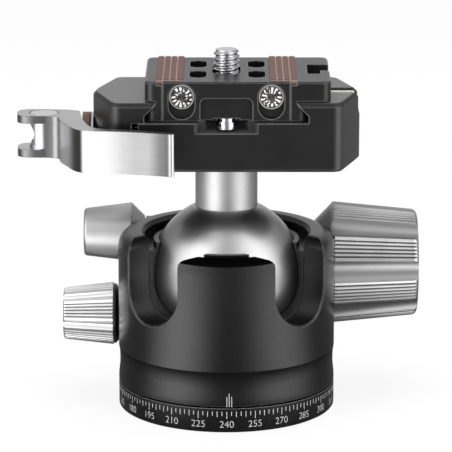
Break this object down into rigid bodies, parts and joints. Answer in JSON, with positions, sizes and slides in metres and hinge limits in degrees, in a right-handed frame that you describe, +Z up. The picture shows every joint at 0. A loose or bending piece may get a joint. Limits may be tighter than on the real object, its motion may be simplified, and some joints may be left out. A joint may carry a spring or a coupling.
{
  "type": "tripod ball head",
  "caption": "Panning ball head with a notched cup, knurled lock knobs, and a lever-clamped quick-release plate for a camera.",
  "frame": {"origin": "centre of the base's underside, where the tripod's screw enters", "axes": "+Z up along the pan axis, +X towards the main lock knob, -Y towards the dial's index"},
  "size_m": [0.0958, 0.0546, 0.0865],
  "materials": {
    "black_anodised": "satin black anodised",
    "gunmetal": "fine bead-blasted grey anodised",
    "titanium_grey": "satin grey anodised",
    "bright_aluminium": "brushed",
    "stainless": "polished",
    "brass": "machined",
    "black_polymer": "matt",
    "acetal": "matt",
    "brown_polymer": "matt",
    "brown_rubber": "matt",
    "vial_glass": "clear"
  },
  "bodies": {
    "base": {"base": "black_anodised", "tripod_insert": "stainless", "retaining_plate": "stainless", "retaining_screws": "stainless", "pan_bearing_washer": "acetal", "pan_thrust_washer": "acetal"},
    "housing": {"housing": "black_anodised", "ball_liner": "black_polymer", "seat_spring": "stainless", "lock_bush": "brass", "pan_lock_collar": "black_anodised"},
    "seat": {"ball_seat": "black_polymer"},
    "ball": {"ball": "gunmetal", "stem": "bright_aluminium", "clamp_bolt": "stainless", "clamp_body": "black_anodised", "jaw_guide_pins": "stainless", "jaw_springs": "stainless", "tie_rod": "stainless", "lever_barrel": "stainless", "level_vial": "vial_glass"},
    "jaw": {"moving_jaw": "black_anodised", "thrust_washer": "brown_polymer", "spacer_ring": "black_polymer", "steel_washer": "stainless"},
    "lever": {"clamp_lever": "bright_aluminium"},
    "lock_knob": {"lock_knob": "titanium_grey", "lock_screw": "stainless"},
    "lock_slug": {"lock_slug": "black_polymer"},
    "friction_knob": {"friction_knob": "titanium_grey", "friction_screw": "stainless"},
    "friction_slug": {"friction_slug": "black_polymer"},
    "pan_knob": {"pan_knob": "titanium_grey", "pan_screw": "stainless"},
    "pan_pin": {"pan_brake_pin": "stainless"},
    "plate": {"release_plate": "black_anodised", "grip_strips": "brown_rubber", "safety_screws": "stainless", "stop_screws": "stainless"},
    "stop": {"anti_twist_stop": "black_anodised"},
    "screw_slider": {"screw_slider": "stainless"},
    "camera_screw": {"camera_screw": "stainless"}
  },
  "joints": [
    {"name": "pan", "type": "hinge", "parent": "base", "child": "housing", "pos_m": [0, 0, 0], "axis": [0, 0, 1], "continuous": true},
    {"name": "ball_turn", "type": "hinge", "parent": "housing", "child": "seat", "pos_m": [0, 0, 0.0325], "axis": [0, 0, 1], "range_deg": [0, 90]},
    {"name": "ball_tilt", "type": "hinge", "parent": "seat", "child": "ball", "pos_m": [0, 0, 0.0325], "axis": [0.7071, -0.7071, 0], "range_deg": [-25, 90]},
    {"name": "lock_knob_turn", "type": "hinge", "parent": "housing", "child": "lock_knob", "pos_m": [0.0216, 0.014, 0.0311], "axis": [-1, 0, 0], "range_deg": [0, 180]},
    {"name": "lock_slug_slide", "type": "slide", "parent": "housing", "child": "lock_slug", "axis": [-1, 0, 0], "range_m": [0, 0.00047]},
    {"name": "friction_knob_turn", "type": "hinge", "parent": "housing", "child": "friction_knob", "pos_m": [-0.0199, 0.017, 0.0379], "axis": [1, 0, 0], "range_deg": [0, 360]},
    {"name": "friction_slug_slide", "type": "slide", "parent": "housing", "child": "friction_slug", "axis": [1, 0, 0], "range_m": [0, 0.000496]},
    {"name": "pan_knob_turn", "type": "hinge", "parent": "housing", "child": "pan_knob", "pos_m": [-0.0274, 0.009, 0.0195], "axis": [1, 0, 0], "range_deg": [0, 180]},
    {"name": "pan_pin_slide", "type": "slide", "parent": "housing", "child": "pan_pin", "axis": [0, 0, -1], "range_m": [0, 0.000398]},
    {"name": "lever_swing", "type": "hinge", "parent": "ball", "child": "lever", "pos_m": [-0.0432, 0, 0.0662], "axis": [0, 0, -1], "range_deg": [0, 120]},
    {"name": "jaw_slide", "type": "slide", "parent": "ball", "child": "jaw", "axis": [-1, 0, 0], "range_m": [0, 0.0025]},
    {"name": "plate_slide", "type": "slide", "parent": "ball", "child": "plate", "axis": [0, 1, 0], "range_m": [-0.0045, 0.0045]},
    {"name": "stop_slide", "type": "slide", "parent": "plate", "child": "stop", "axis": [0, 0, 1], "range_m": [0, 0.002]},
    {"name": "screw_slide", "type": "slide", "parent": "plate", "child": "screw_slider", "axis": [0, 1, 0], "range_m": [-0.003, 0.003]},
    {"name": "camera_screw_turn", "type": "hinge", "parent": "screw_slider", "child": "camera_screw", "pos_m": [0, 0, 0.0724], "axis": [0, 0, 1], "continuous": true}
  ],
  "couplings": [
    {"joint": "lock_knob_turn", "follows": "lock_slug_slide", "rad_per_m": 6666.7},
    {"joint": "friction_knob_turn", "follows": "friction_slug_slide", "rad_per_m": 12658},
    {"joint": "pan_knob_turn", "follows": "pan_pin_slide", "rad_per_m": 7874},
    {"joint": "jaw_slide", "follows": "lever_swing", "m_per_rad": 0.00119}
  ]
}
